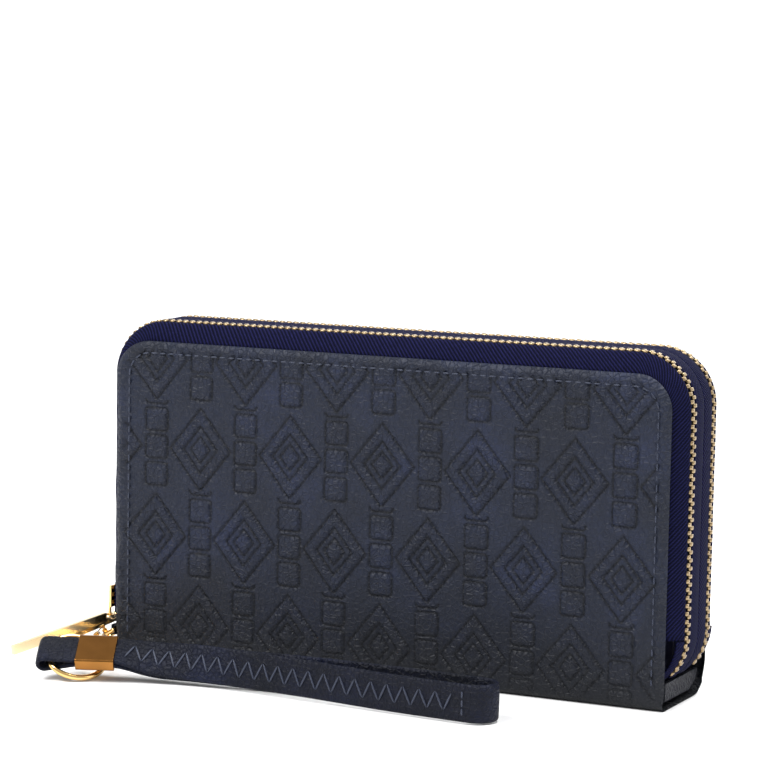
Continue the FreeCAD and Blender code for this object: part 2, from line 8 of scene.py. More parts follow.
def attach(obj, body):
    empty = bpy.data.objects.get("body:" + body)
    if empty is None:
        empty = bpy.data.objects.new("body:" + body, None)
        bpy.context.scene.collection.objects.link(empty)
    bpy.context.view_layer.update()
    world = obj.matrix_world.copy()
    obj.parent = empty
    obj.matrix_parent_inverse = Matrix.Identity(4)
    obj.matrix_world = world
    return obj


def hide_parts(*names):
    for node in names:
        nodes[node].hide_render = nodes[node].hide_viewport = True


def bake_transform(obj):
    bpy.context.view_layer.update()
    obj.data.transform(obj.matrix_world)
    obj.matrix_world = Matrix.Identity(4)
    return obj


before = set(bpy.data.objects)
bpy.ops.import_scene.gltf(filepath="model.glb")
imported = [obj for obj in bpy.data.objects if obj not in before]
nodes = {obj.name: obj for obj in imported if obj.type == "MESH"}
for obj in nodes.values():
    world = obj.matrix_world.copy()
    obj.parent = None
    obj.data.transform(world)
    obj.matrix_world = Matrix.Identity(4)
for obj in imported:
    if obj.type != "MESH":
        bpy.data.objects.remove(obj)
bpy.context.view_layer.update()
MM = 0.001


# ---------------------------------------------------------------- node helpers
class Shader:
    """A node material: call it with a node type, sockets as inputs and plain values as properties."""

    def __init__(self, name):
        self.material = bpy.data.materials.new(name)
        self.material.use_nodes = True
        self.tree = self.material.node_tree
        self.surface = self.tree.nodes["Principled BSDF"]

    def __call__(self, kind, inputs=None, out=0, **properties):
        node = self.tree.nodes.new("ShaderNode" + kind)
        for key, value in properties.items():
            setattr(node, key, value)
        for key, value in (inputs or {}).items():
            self.put(node.inputs[key], value)
        return node.outputs[out]

    def put(self, socket, value):
        if isinstance(value, bpy.types.NodeSocket):
            self.tree.links.new(value, socket)
        else:
            socket.default_value = value

    def set(self, **values):
        for key, value in values.items():
            self.put(self.surface.inputs[key.replace("_", " ")], value)
        return self.material

    def math(self, operation, a, b=0.0, clamp=False):
        return self("Math", {0: a, 1: b}, operation=operation, use_clamp=clamp)

    def ramp(self, value, stops):
        socket = self("ValToRGB", {"Fac": value})
        ramp = socket.node.color_ramp
        while len(ramp.elements) < len(stops):
            ramp.elements.new(0.5)
        for element, (place, colour) in zip(ramp.elements, stops):
            element.position = place
            element.color = tuple(colour) + (1.0,) if len(colour) == 3 else colour
        return socket

    def mix(self, fac, a, b):
        socket = self("Mix", {"Factor": fac}, out=2, data_type="RGBA")
        self.put(socket.node.inputs[6], a)
        self.put(socket.node.inputs[7], b)
        return socket

    def bump(self, height, strength, distance, normal=None):
        inputs = {"Height": height, "Strength": strength, "Distance": distance}
        if normal is not None:
            inputs["Normal"] = normal
        return self("Bump", inputs)

    def rest(self):
        return self("Attribute", out=1, attribute_name="rest")

    def place(self):
        return self("TexCoord", out=3)

    def noise(self, vector, scale, detail=3.0, roughness=0.55):
        return self("TexNoise", {"Vector": vector, "Scale": scale, "Detail": detail,
                                 "Roughness": roughness})

    def cells(self, vector, scale, feature="F1", randomness=1.0):
        inputs = {"Vector": vector, "Scale": scale, "Randomness": randomness}
        return self("TexVoronoi", inputs, feature=feature)


def grey(value):
    return (value, value, value)


def rgb(r, g, b):
    """A colour given as it looks on screen, 0 to 255."""
    linear = [((c / 255 + 0.055) / 1.055) ** 2.4 if c > 10 else c / 255 / 12.92 for c in (r, g, b)]
    return tuple(linear) + (1.0,)


# ---------------------------------------------------------------- materials
def leather_material(name, grain, dark, mid, light, shine, rest=True, emboss=False):
    s = Shader(name)
    at = s.rest() if rest else s.place()
    pebble = s.cells(at, grain, "SMOOTH_F1")
    creases = s.cells(at, grain * 0.62, "DISTANCE_TO_EDGE")
    fine = s.noise(at, grain * 2.4, 4.0, 0.65)
    broad = s.noise(at, 42.0, 4.0, 0.6)
    colour = s.ramp(broad, [(0.3, dark[:3]), (0.52, mid[:3]), (0.75, light[:3])])
    crease_mask = s.ramp(creases, [(0.0, grey(0.0)), (0.16, grey(1.0))])
    # Painted shade: the colour is darkened in the creases between the pebbles.
    colour = s.mix(crease_mask, s.mix(0.45, colour, dark), colour)
    rough = s.ramp(s.math("ADD", s.math("MULTIPLY", fine, 0.5), s.math("MULTIPLY", pebble, 0.9)),
                   [(0.2, grey(0.36)), (0.9, grey(0.62))])
    height = s.math("ADD", s.math("MULTIPLY", pebble, -1.0), s.math("MULTIPLY", fine, 0.35))
    height = s.math("ADD", height, s.math("MULTIPLY", crease_mask, 0.5))
    if emboss:
        groove = s("Attribute", out=2, attribute_name="groove")
        ground = s("Attribute", out=2, attribute_name="ground")
        colour = s.mix(s.math("MULTIPLY", ground, 0.2), colour, rgb(20, 26, 40))
        # Painted shade: the stamped grooves are darkened almost to black, standing in for shade in the
        # recesses.
        colour = s.mix(s.math("MULTIPLY", groove, 0.78), colour, rgb(3, 4, 6))
        # Painted shade: the panel turns near-black over its lowest few centimetres, standing in for the
        # shadow from the strap and the floor.
        clear_of_painted_bottom_shade = s.math("MULTIPLY", s("SeparateXYZ", {"Vector": at}, out=1), 30.0, clamp=True)
        colour = s.mix(clear_of_painted_bottom_shade, rgb(7, 10, 17), colour)
        height = s.math("MULTIPLY", height, s.math("SUBTRACT", 1.0, s.math("MULTIPLY", ground, 0.35)))
    normal = s.bump(s.noise(at, 120.0, 3.0, 0.5), 0.3, 0.0008)
    normal = s.bump(height, 0.9, 0.0004, normal)
    s.surface.inputs["Specular IOR Level"].default_value = shine
    return s.set(Base_Color=colour, Roughness=rough, Normal=normal)


def tape_material():
    s = Shader("zip_tape_twill")
    at = s.rest()
    ribs = {"Vector": at, "Scale": 480.0, "Distortion": 0.6, "Detail": 2.0, "Detail Scale": 3.0}
    twill = s("TexWave", ribs, out=1, bands_direction="DIAGONAL")
    cross = s("TexWave", {"Vector": at, "Scale": 620.0, "Distortion": 0.3}, out=1, bands_direction="X")
    weave = s.math("ADD", s.math("MULTIPLY", twill, 0.7), s.math("MULTIPLY", cross, 0.3))
    fuzz = s.noise(at, 900.0, 3.0, 0.7)
    colour = s.ramp(s.math("ADD", s.math("MULTIPLY", weave, 0.6), s.math("MULTIPLY", fuzz, 0.4)),
                    [(0.3, rgb(5, 6, 20)[:3]), (0.55, rgb(13, 14, 40)[:3]), (0.8, rgb(27, 29, 68)[:3])])
    s.surface.inputs["Specular IOR Level"].default_value = 0.05
    return s.set(Base_Color=colour, Roughness=s.ramp(fuzz, [(0.0, grey(0.72)), (1.0, grey(0.92))]),
                 Normal=s.bump(weave, 0.9, 0.0002))


def cloth_material(name, dark, light):
    s = Shader(name)
    at = s.place()
    warp = s("TexWave", {"Vector": at, "Scale": 700.0, "Distortion": 0.8, "Detail": 2.0}, out=1,
             bands_direction="X")
    weft = s("TexWave", {"Vector": at, "Scale": 700.0, "Distortion": 0.8, "Detail": 2.0}, out=1,
             bands_direction="Z")
    weave = s.math("MULTIPLY", warp, weft)
    slub = s.noise(at, 160.0, 4.0, 0.6)
    colour = s.mix(s.math("ADD", s.math("MULTIPLY", weave, 0.6), s.math("MULTIPLY", slub, 0.4)), dark, light)
    return s.set(Base_Color=colour, Roughness=s.ramp(slub, [(0.2, grey(0.7)), (0.8, grey(0.9))]),
                 Normal=s.bump(weave, 0.4, 0.0001))


def metal_material(name, warm, pale, rough_low, rough_high):
    s = Shader(name)
    at = s.place()
    cloud = s.noise(at, 60.0, 4.0, 0.6)
    scratch = s.noise(s("Mapping", {"Vector": at, "Scale": (40.0, 900.0, 900.0)}), 3.0, 3.0, 0.7)
    colour = s.mix(cloud, warm, pale)
    rough = s.ramp(s.math("ADD", s.math("MULTIPLY", scratch, 0.5), s.math("MULTIPLY", cloud, 0.5)),
                   [(0.3, grey(rough_low)), (0.75, grey(rough_high))])
    s.surface.inputs["Metallic"].default_value = 1.0
    return s.set(Base_Color=colour, Roughness=rough, Normal=s.bump(scratch, 0.08, 0.00003))


def thread_material():
    s = Shader("thread")
    at = s.place()
    twist = s("TexWave", {"Vector": at, "Scale": 900.0, "Distortion": 0.5}, out=1, bands_direction="DIAGONAL")
    colour = s.mix(twist, rgb(20, 25, 38), rgb(52, 60, 82))
    return s.set(Base_Color=colour, Roughness=s.ramp(twist, [(0.0, grey(0.6)), (1.0, grey(0.45))]),
                 Normal=s.bump(twist, 0.5, 0.0001))


def floor_material():
    s = Shader("studio_floor")
    cloud = s.noise(s.place(), 3.0, 2.0)
    return s.set(Base_Color=s.mix(cloud, (0.86, 0.86, 0.87, 1), (0.9, 0.9, 0.9, 1)),
                 Roughness=s.ramp(cloud, [(0.3, grey(0.75)), (0.7, grey(0.85))]))


panel_tones = (rgb(12, 17, 29), rgb(18, 25, 43), rgb(28, 36, 62))
strap_tones = (rgb(6, 9, 18), rgb(9, 13, 28), rgb(16, 22, 44))
panel_leather = leather_material("panel_leather", 950.0, *panel_tones, shine=0.27, emboss=True)
strap_leather = leather_material("strap_leather", 1000.0, *strap_tones, shine=0.16)
tab_leather = leather_material("tab_leather", 1000.0, *strap_tones, shine=0.16, rest=False)
twill = tape_material()
lining = cloth_material("lining_cloth", rgb(26, 29, 52), rgb(52, 58, 92))
pocket_cloth = cloth_material("pocket_cloth", rgb(24, 27, 40), rgb(44, 50, 68))
teeth_metal = metal_material("teeth_metal", rgb(112, 92, 64), rgb(178, 158, 124), 0.22, 0.42)
gold = metal_material("gold_metal", rgb(222, 178, 104), rgb(244, 212, 150), 0.08, 0.2)
pull_gold = metal_material("pull_metal", rgb(222, 196, 150), rgb(242, 224, 188), 0.16, 0.3)
clamp_gold = metal_material("clamp_metal", rgb(120, 80, 38), rgb(176, 122, 62), 0.12, 0.24)
thread = thread_material()


# ---------------------------------------------------------------- mesh helpers
def piece(name, vertices, faces, material, body=None, stands_for=(), rest=None, extra=None):
    """A mesh object from points in mm, riding on a body and standing for CAD nodes."""
    mesh = bpy.data.meshes.new(name)
    vertices = np.asarray(vertices, float)
    mesh.from_pydata((vertices * MM).tolist(), [], faces)
    mesh.validate()
    mesh.polygons.foreach_set("use_smooth", [True] * len(mesh.polygons))
    mesh.materials.append(material)
    values = (vertices if rest is None else np.asarray(rest, float)) * MM
    mesh.attributes.new("rest", "FLOAT_VECTOR", "POINT").data.foreach_set("vector", values.ravel())
    for key, value in (extra or {}).items():
        layer = mesh.attributes.new(key, "FLOAT", "POINT")
        layer.data.foreach_set("value", np.asarray(value, np.float32).ravel())
    obj = bpy.data.objects.new(name, mesh)
    bpy.context.scene.collection.objects.link(obj)
    if body:
        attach(obj, body)
    if stands_for:
        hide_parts(*stands_for)
    return obj


def grid_faces(rows, columns, close_columns=False, start=0):
    """Four-sided faces between rows of points, with each row closed into a ring if asked."""
    faces = []
    for i in range(rows - 1):
        a = start + i * columns
        b = a + columns
        for j in range(columns if close_columns else columns - 1):
            k = (j + 1) % columns
            faces.append((a + j, a + k, b + k, b + j))
    return faces


def sweep(frames, profile):
    """A closed profile [(side, up)] carried along frames [(centre, side axis, up axis)]."""
    profile = np.asarray(profile, float)
    rows = [centre + profile[:, :1] * side + profile[:, 1:] * up for centre, side, up in frames]
    count = len(profile)
    faces = grid_faces(len(rows), count, close_columns=True)
    faces.append(tuple(range(count))[::-1])
    faces.append(tuple(range((len(rows) - 1) * count, len(rows) * count)))
    return np.concatenate(rows), faces


def capsules(ends, radius, sides=6):
    """Short round-ended threads between pairs of points."""
    vertices, faces = [], []
    for a, b in ends:
        a, b = np.asarray(a, float), np.asarray(b, float)
        d = (b - a) / np.linalg.norm(b - a)
        u = np.cross(d, (0, 0, 1)) if abs(d[2]) < 0.9 else np.cross(d, (1, 0, 0))
        u /= np.linalg.norm(u)
        v = np.cross(d, u)
        start = len(vertices)
        length = np.linalg.norm(b - a)
        for along, r in ((0.0, 0.25), (0.12, 0.75), (0.3, 1.0), (0.7, 1.0), (0.88, 0.75), (1.0, 0.25)):
            for k in range(sides):
                t = 2 * math.pi * k / sides
                vertices.append(a + d * along * length + (u * math.cos(t) + v * math.sin(t)) * r * radius)
        faces += grid_faces(6, sides, close_columns=True, start=start)
        faces.append(tuple(range(start, start + sides))[::-1])
        faces.append(tuple(range(start + 5 * sides, start + 6 * sides)))
    return np.array(vertices), faces


def soften(node, material, width=0.25, segments=3):
    """A CAD node that keeps its shape: a better material and rounded edges."""
    obj = nodes[node]
    obj.data.materials.clear()
    obj.data.materials.append(material)
    weld = obj.modifiers.new("weld", "WELD")
    weld.merge_threshold = 0.00001
    bevel = obj.modifiers.new("bevel", "BEVEL")
    bevel.width = width * MM
    bevel.segments = segments
    bevel.limit_method = "ANGLE"
    bevel.angle_limit = math.radians(40)
    weighted = obj.modifiers.new("weighted", "WEIGHTED_NORMAL")
    weighted.keep_sharp = True


def waves(x, z, scale, seed):
    """Soft unevenness, about -1 to 1."""
    r = np.random.default_rng(seed)
    total = np.zeros_like(x)
    for _ in range(7):
        angle = r.uniform(0, math.pi)
        length = scale * r.uniform(0.6, 1.6)
        along = x * math.cos(angle) + z * math.sin(angle)
        total += np.sin(along * 2 * math.pi / length + r.uniform(0, 6.28))
    return total / 3.2


# ---------------------------------------------------------------- leather skins
half_width, panel_top, corner = 94.0, 101.0, 11.0
front_face, rear_face = -19.5, 19.5
foot_radius, spine_radius = 2.4, 11.0
foot_y, spine_y = front_face + foot_radius, rear_face - spine_radius
seam_inset, edge_roll = 3.7, 2.6


def outline_half_width(z):
    up = np.clip(z - (panel_top - corner), 0, corner)
    return half_width - corner + np.sqrt(np.maximum(corner ** 2 - up ** 2, 0))


def outline_distance(x, z):
    """How far a point of the panel is inside its outline."""
    cx = np.abs(x) - (half_width - corner)
    cz = z - (panel_top - corner)
    outside = np.hypot(np.maximum(cx, 0), np.maximum(cz, 0))
    return corner - outside - np.minimum(np.maximum(cx, cz), 0)


def emboss(x, z):
    """The stamped pattern of nested lozenges and stacked studs: signed distance to the nearest figure."""
    pitch, row_pitch, height = 32.05, 28.48, 26.4
    first_x, first_z = -84.14, -2.9
    stud_x, stud_half, stud_round, stud_gap = 4.1, 3.9, 1.2, 0.7
    lozenge_x, lozenge_half = 20.02, 10.9
    row = np.floor((z - first_z) / row_pitch)
    shift = np.where(np.mod(row, 2) == 0, 0.0, pitch / 2)
    local_x = np.mod(x - first_x - shift, pitch)
    local_z = z - first_z - row * row_pitch - height / 2
    qx = np.abs(local_x - stud_x) - (stud_half - stud_round)
    stud_pitch = height / 3
    stud_z = np.mod(local_z + height / 2, stud_pitch) - stud_pitch / 2
    qz = np.abs(stud_z) - (stud_pitch / 2 - stud_gap - stud_round)
    outside = np.hypot(np.maximum(qx, 0), np.maximum(qz, 0))
    stud = outside + np.minimum(np.maximum(qx, qz), 0) - stud_round
    a, b = lozenge_half, height / 2
    cx = np.abs(local_x - lozenge_x)
    reach = (cx * b + np.abs(local_z) * a) / math.hypot(a, b)
    edge = a * b / math.hypot(a, b)
    ring = np.maximum(reach - edge, edge * 0.56 - reach)
    return np.minimum(np.minimum(stud, ring), reach - edge * 0.32)


def skin(name, profile, outward, node_names, pattern_sign):
    """One leather skin. profile gives (y, z, outward y, outward z, reach along the outside)."""
    columns = 471
    y0, z0, ny, nz, reach = profile.T
    u = np.linspace(-1, 1, columns)
    width = outline_half_width(z0)
    x = width[:, None] * u[None, :]
    z = np.repeat(z0[:, None], columns, 1)
    reach = np.repeat(reach[:, None], columns, 1)
    upright = np.clip((z - 4.0) / 6.0, 0, 1)
    inset = np.where(z > 30, outline_distance(x, z), half_width - np.abs(x))
    distance = emboss(x * pattern_sign, reach)
    groove = np.exp(-(distance / 0.37) ** 2)
    inside = np.clip(-distance / 1.4, 0, 1)
    inside = inside * inside * (3 - 2 * inside)
    calm = np.clip((inset - 2.2) / 1.6, 0, 1)
    roll = np.clip((edge_roll - inset) / edge_roll, 0, 1)
    height = calm * (0.3 * inside - 0.5 * groove)
    height -= 1.5 * (1 - np.sqrt(1 - 0.995 * roll ** 2))
    height -= 0.22 * np.exp(-((inset - seam_inset) / 0.55) ** 2)
    height += 0.12 * waves(x, z, 30.0, 3) * calm
    height += 0.10 * waves(x * 3.0, z, 22.0, 5) * np.exp(-((inset - 6) / 7.0) ** 2) * upright
    height += 0.2 * np.exp(-((inset - 1.9) / 0.9) ** 2)
    height *= np.where(z < 3.0, 0.0, 1.0) * np.clip((z - 1.0) / 5.0, 0.0, 1.0) ** 0.5
    height = np.minimum(height, 0.3)
    y = y0[:, None] + height * ny[:, None]
    z_out = z + height * nz[:, None]
    swell = np.clip((-x - half_width + 14.0) / 14.0, 0, 1) ** 2 * np.clip(z / 10.0, 0.15, 1.0)
    x_out = x - (2.2 + 0.35 * waves(z, z * 0.0, 26.0, 11)) * swell
    y = y + np.sign(-ny[:, None]) * 1.3 * swell ** 1.5 * (np.abs(ny[:, None]) > 0.9)
    vertices = np.stack([x_out, y, z_out], -1).reshape(-1, 3)
    ground = np.clip(distance / 0.7, 0, 1) * calm
    faces = grid_faces(len(profile), columns)
    if not outward:
        faces = [face[::-1] for face in faces]
    obj = piece(name, vertices, faces, panel_leather, stands_for=node_names,
                rest=np.stack([x, reach, 0 * x], -1).reshape(-1, 3),
                extra={"groove": groove * calm, "ground": ground})
    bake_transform(obj)


def upright_rows(low):
    """Heights of a skin's rows, from the top down to where its bottom bend begins."""
    corner_start = panel_top - corner
    fine = np.arange(low, corner_start, 0.44)
    top = corner_start + corner * np.sin(np.linspace(0, math.pi / 2, 24))
    return np.concatenate([fine, top])[::-1]


def bend_rows(centre, radius, side, steps):
    """The quarter turn from a cover's face to the bottom. side is -1 at the front and +1 at the rear."""
    rows = []
    for t in np.linspace(0, math.pi / 2, steps)[1:]:
        out_y, out_z = side * math.cos(t), -math.sin(t)
        rows.append((centre + radius * out_y, radius + radius * out_z, out_y, out_z, radius - radius * t))
    return rows


front_profile = [(front_face, z, -1, 0, z) for z in upright_rows(3.0)]
front_profile += bend_rows(foot_y, foot_radius, -1, 9)
front_profile += [(y, 0.0, 0, -1, foot_y - y - 1.4) for y in np.linspace(-16.2, -5.2, 9)]
skin("front_leather_skin", np.array(front_profile), True, ("front_panel",),
     1)
rear_profile = [(rear_face, z, 1, 0, z) for z in upright_rows(spine_radius)]
rear_profile += bend_rows(spine_y, spine_radius, 1, 22)
rear_profile += [(y, 0.0, 0, -1, -6.3 + y - spine_y) for y in np.linspace(7.5, -4.8, 9)]
skin("rear_leather_skin", np.array(rear_profile), False, ("rear_panel", "spine"),
     -1)


def seam(name, body, y, low):
    """The row of stitches just inside a cover's edge."""
    pitch, length = 3.1, 2.2
    r = corner - seam_inset
    side, top = half_width - seam_inset, panel_top - seam_inset
    straight = top - r - low
    bend = r * math.pi / 2
    total = 2 * (straight + bend) + 2 * (side - r)

    def at(s):
        if s < straight:
            return -side, low + s
        s -= straight
        if s < bend:
            t = s / r
            return -side + r - r * math.cos(t), top - r + r * math.sin(t)
        s -= bend
        if s < 2 * (side - r):
            return -side + r + s, top
        s -= 2 * (side - r)
        if s < bend:
            t = s / r
            return side - r + r * math.sin(t), top - r + r * math.cos(t)
        s -= bend
        return side, top - r - s

    ends = []
    for k in range(int(total / pitch)):
        (xa, za), (xb, zb) = at(k * pitch), at(k * pitch + length)
        ends.append(((xa, y, za), (xb, y, zb)))
    vertices, faces = capsules(ends, 0.3)
    piece(name, vertices, faces, thread, body)


seam("front_edge_stitches", "front_cover", front_face + 0.08, 6.0)
seam("rear_edge_stitches", "rear_cover", rear_face - 0.08, 14.0)


# ---------------------------------------------------------------- zips
zip_side, zip_top, zip_radius, split_z, curve_z = 98.2, 107.0, 17.0, 21.3, 21.6
end_angle = math.radians(50.0)
left_low = 11.0
upright_length = zip_top - zip_radius - left_low
quarter = zip_radius * math.pi / 2
top_length = 2 * (zip_side - zip_radius)
right_upright = zip_top - zip_radius - curve_z
path_length = upright_length + quarter + top_length + quarter + right_upright + zip_radius * end_angle


def zip_path(s):
    """Place, direction and outward direction on the zips' path, in X and Z."""
    if s < upright_length:
        return (-zip_side, left_low + s), (0, 1), (-1, 0)
    s -= upright_length
    if s < quarter:
        t = s / zip_radius
        out = (-math.cos(t), math.sin(t))
        centre = (-zip_side + zip_radius, zip_top - zip_radius)
    elif s < quarter + top_length:
        return (-zip_side + zip_radius + s - quarter, zip_top), (1, 0), (0, 1)
    elif s < 2 * quarter + top_length:
        t = (s - quarter - top_length) / zip_radius
        out = (math.sin(t), math.cos(t))
        centre = (zip_side - zip_radius, zip_top - zip_radius)
    elif s < 2 * quarter + top_length + right_upright:
        return (zip_side, zip_top - zip_radius - (s - 2 * quarter - top_length)), (0, -1), (1, 0)
    else:
        t = (s - 2 * quarter - top_length - right_upright) / zip_radius
        out = (math.cos(t), -math.sin(t))
        centre = (zip_side - zip_radius, curve_z)
    place = (centre[0] + zip_radius * out[0], centre[1] + zip_radius * out[1])
    return place, (out[1], -out[0]), out


split_left = split_z - left_low
split_right = upright_length + 2 * quarter + top_length + zip_top - zip_radius - split_z


def tooth(centre, along, out, side):
    """One moulded tooth: a rounded block whose head reaches over the zip's middle. side is +1 or -1 in Y."""
    half = 0.56
    shape = [(-0.9, -0.55), (-0.9, 0.34), (-0.65, 0.54), (0.4, 0.58), (0.9, 0.4), (1.05, 0.0), (0.9, -0.45),
             (0.3, -0.6), (-0.6, -0.6)]
    vertices = []
    for width, scale in ((-half, 0.80), (-half * 0.8, 0.97), (0.0, 1.03), (half * 0.8, 0.97), (half, 0.80)):
        for across, up in shape:
            reach = across * (0.9 + 0.1 * scale)
            x = centre[0] + along[0] * width + out[0] * up * scale
            z = centre[1] + along[1] * width + out[1] * up * scale
            vertices.append((x, centre[2] - side * reach, z))
    count = len(shape)
    faces = grid_faces(5, count, close_columns=True)
    faces.append(tuple(range(count))[::-1])
    faces.append(tuple(range(4 * count, 5 * count)))
    return vertices, faces


def zip_row(zip_name, zip_y, side, cover, outer):
    """One row of teeth, cut into the pieces that stand for its CAD nodes."""
    pitch = 2.45
    offset = 0.4 if outer else 0.4 + pitch / 2
    groups = {}
    for k in range(int((path_length - offset) / pitch)):
        s = offset + k * pitch
        (x, z), along, out = zip_path(s)
        if outer and (s < split_left or s > split_right):
            node = "%s_teeth_end_%s" % (zip_name, "left" if s < split_left else "right")
            if abs(s - split_left) < 0.8 or abs(s - split_right) < 0.8:
                continue
        else:
            node = "%s_teeth_%s" % (zip_name, "outer" if outer else "inner")
        vertices, faces = tooth((x, z, zip_y + side * 0.92), along, out, side)
        store = groups.setdefault(node, ([], []))
        start = len(store[0])
        store[0].extend(vertices)
        store[1].extend([tuple(start + i for i in f) for f in faces])
    for node, (vertices, faces) in groups.items():
        body = cover if node.endswith("outer") else "wallet_core"
        piece(node + "_row", vertices, faces, teeth_metal, body, (node,))


def leather_edge(s):
    """The point of the leather's outline that faces a point of the zips' path."""
    (x, z), _, out = zip_path(s)
    inset = 1.0
    r = corner - inset
    if s < upright_length or (out[1] == 0):
        return math.copysign(half_width - inset, x), z
    if out == (0, 1):
        return x * (half_width - corner) / (zip_side - zip_radius), panel_top - inset
    if s > path_length - zip_radius * end_angle:
        return x - out[0] * side_bulge, z - out[1] * side_bulge
    return math.copysign(half_width - corner, x) + r * out[0], panel_top - corner + r * out[1]


side_bulge = zip_side - half_width


def tape_strip(name, profile, s0, s1, body, node_names, from_leather=False):
    """A woven tape along the path. profile is [(outward, y)] from one edge to the other, on its outer face.

    from_leather stretches the outward part so that the first edge lies on the leather's outline.
    """
    profile = np.asarray(profile, float)
    thickness = 0.5
    steps = max(4, int((s1 - s0) / 1.6))
    run = np.linspace(s0, s1, steps)
    normal = np.gradient(profile, axis=0)
    normal = np.stack([normal[:, 1], -normal[:, 0]], 1)
    normal /= np.linalg.norm(normal, axis=1)[:, None]
    if normal[:, 0].mean() < 0:
        normal = -normal
    across = np.concatenate([[0], np.cumsum(np.linalg.norm(np.diff(profile, axis=0), axis=1))])
    loop = np.concatenate([profile, (profile - normal * thickness)[::-1]])
    loop_across = np.concatenate([across, across[::-1]])
    rows, rest = [], []
    for s in run:
        s = min(s, path_length - 1e-6)
        (x, z), _, out = zip_path(s)
        if from_leather:
            edge_x, edge_z = leather_edge(s)
            share = loop[:, 0] / -profile[0, 0]
            ripple = 0.14 * math.sin(s * 0.19) + 0.10 * math.sin(s * 0.47 + 1.0)
            ripple += 0.8 * (1.0 - min(max((s - upright_length - quarter * 0.6) / 22.0, 0.0), 1.0))
            swell = ripple * np.sin(np.clip(-share, 0, 1) * math.pi)
            row = np.stack([x + (x - edge_x) * share + out[0] * swell, loop[:, 1],
                            z + (z - edge_z) * share + out[1] * swell], 1)
        else:
            row = np.stack([x + out[0] * loop[:, 0], loop[:, 1], z + out[1] * loop[:, 0]], 1)
        rows.append(row)
        rest.append(np.stack([np.full(len(loop), s), loop_across, np.zeros(len(loop))], 1))
    count = len(loop)
    faces = grid_faces(steps, count, close_columns=True)
    faces.append(tuple(range(count))[::-1])
    faces.append(tuple(range((steps - 1) * count, steps * count)))
    piece(name, np.concatenate(rows), faces, twill, body, node_names,
          rest=np.concatenate(rest))


def sloped(y_edge, y_teeth, low, high):
    """The curved rise of a tape from the leather's edge up to the teeth."""
    t = np.linspace(0, 1, 9)
    return np.stack([low + (high - low) * np.sin(t * math.pi / 2) ** 0.9, y_edge + (y_teeth - y_edge) * t], 1)


for zip_name, zip_y, side, cover in (("front", -11.2, -1, "front_cover"), ("rear", 6.5, 1, "rear_cover")):
    zip_row(zip_name, zip_y, side, cover, True)
    zip_row(zip_name, zip_y, -side, cover, False)
    edge_y = zip_y + side * (6.6 if zip_name == "front" else 11.2)
    teeth_y = zip_y + side * 1.55
    outer_profile = sloped(edge_y, teeth_y, -5.2, 0.0)
    end_profile = sloped(zip_y + side * (5.0 if zip_name == "front" else 8.4), teeth_y, -1.2, 0.0)
    tape_strip(zip_name + "_tape_cover", outer_profile, split_left, split_right, cover,
               (zip_name + "_tape_outer",), from_leather=True)
    tape_strip(zip_name + "_tape_left_end", end_profile, 0.0, split_left - 0.4, "wallet_core",
               (zip_name + "_tape_end_left",))
    tape_strip(zip_name + "_tape_right_end", end_profile, split_right + 0.4, path_length, "wallet_core",
               (zip_name + "_tape_end_right",))
    t = np.linspace(0, 1, 9)
    middle = -2.35 + (0.02 if zip_name == "rear" else -0.02)
    inner_y = zip_y - side * 1.55
    inner_profile = np.stack([0.22 + 0.25 * np.sin(t * math.pi), inner_y + (middle - inner_y) * t], 1)
    tape_strip(zip_name + "_tape_core", inner_profile, 0.0, path_length, "wallet_core",
               (zip_name + "_tape_inner",))


# ---------------------------------------------------------------- carried-over CAD nodes
for node in ("front_lining", "rear_lining", "divider"):
    soften(node, lining, 0.2, 2)
for node in nodes:
    if node.startswith("card_pocket") or node in ("rear_note_pocket", "coin_pocket_wall", "coin_pocket_band"):
        soften(node, pocket_cloth, 0.2, 2)
for node in ("coin_tape_lower", "coin_tape_upper"):
    soften(node, lining, 0.15, 2)
for node in ("coin_teeth_lower", "coin_teeth_upper"):
    soften(node, teeth_metal, 0.2, 2)
for node in ("slider_front", "slider_rear", "coin_slider", "coin_pull", "link_front", "link_rear", "d_ring",
             "hook_body", "hook_gate", "hook_swivel", "strap_ring"):
    soften(node, gold, 0.12, 3)
for node in ("pull_bar_front", "pull_bar_rear"):
    soften(node, pull_gold, 0.3, 3)
soften("strap_clamp", clamp_gold, 0.22, 3)
soften("strap_tab", tab_leather, 0.5, 3)
for node in ("end_tab_left", "end_tab_right"):
    soften(node, tab_leather, 0.4, 3)


# ---------------------------------------------------------------- wrist strap
yaw, tilt = math.radians(22.0), math.radians(30.0)
along0 = np.array([math.cos(yaw), math.sin(yaw), 0.0])
level0 = np.array([-math.sin(yaw), math.cos(yaw), 0.0])
across0 = level0 * math.cos(tilt) + np.array([0, 0, math.sin(tilt)])
normal0 = np.cross(along0, across0)
clamp_centre = np.array([-75.8, -62.7, 8.1])
band, band_width = 1.5, 11.4
stops = [(-58.0, -57.2, 2.3, 40, 0.1), (-46.0, -55.3, 1.4, 24, 0.4), (-30.0, -55.0, 0.8, 11, 1.8),
         (-8.0, -57.2, 0.8, 4, 5.4), (22.0, -60.0, 0.3, 0, 9.0), (50.0, -62.4, 0.3, 0, 10.0)]


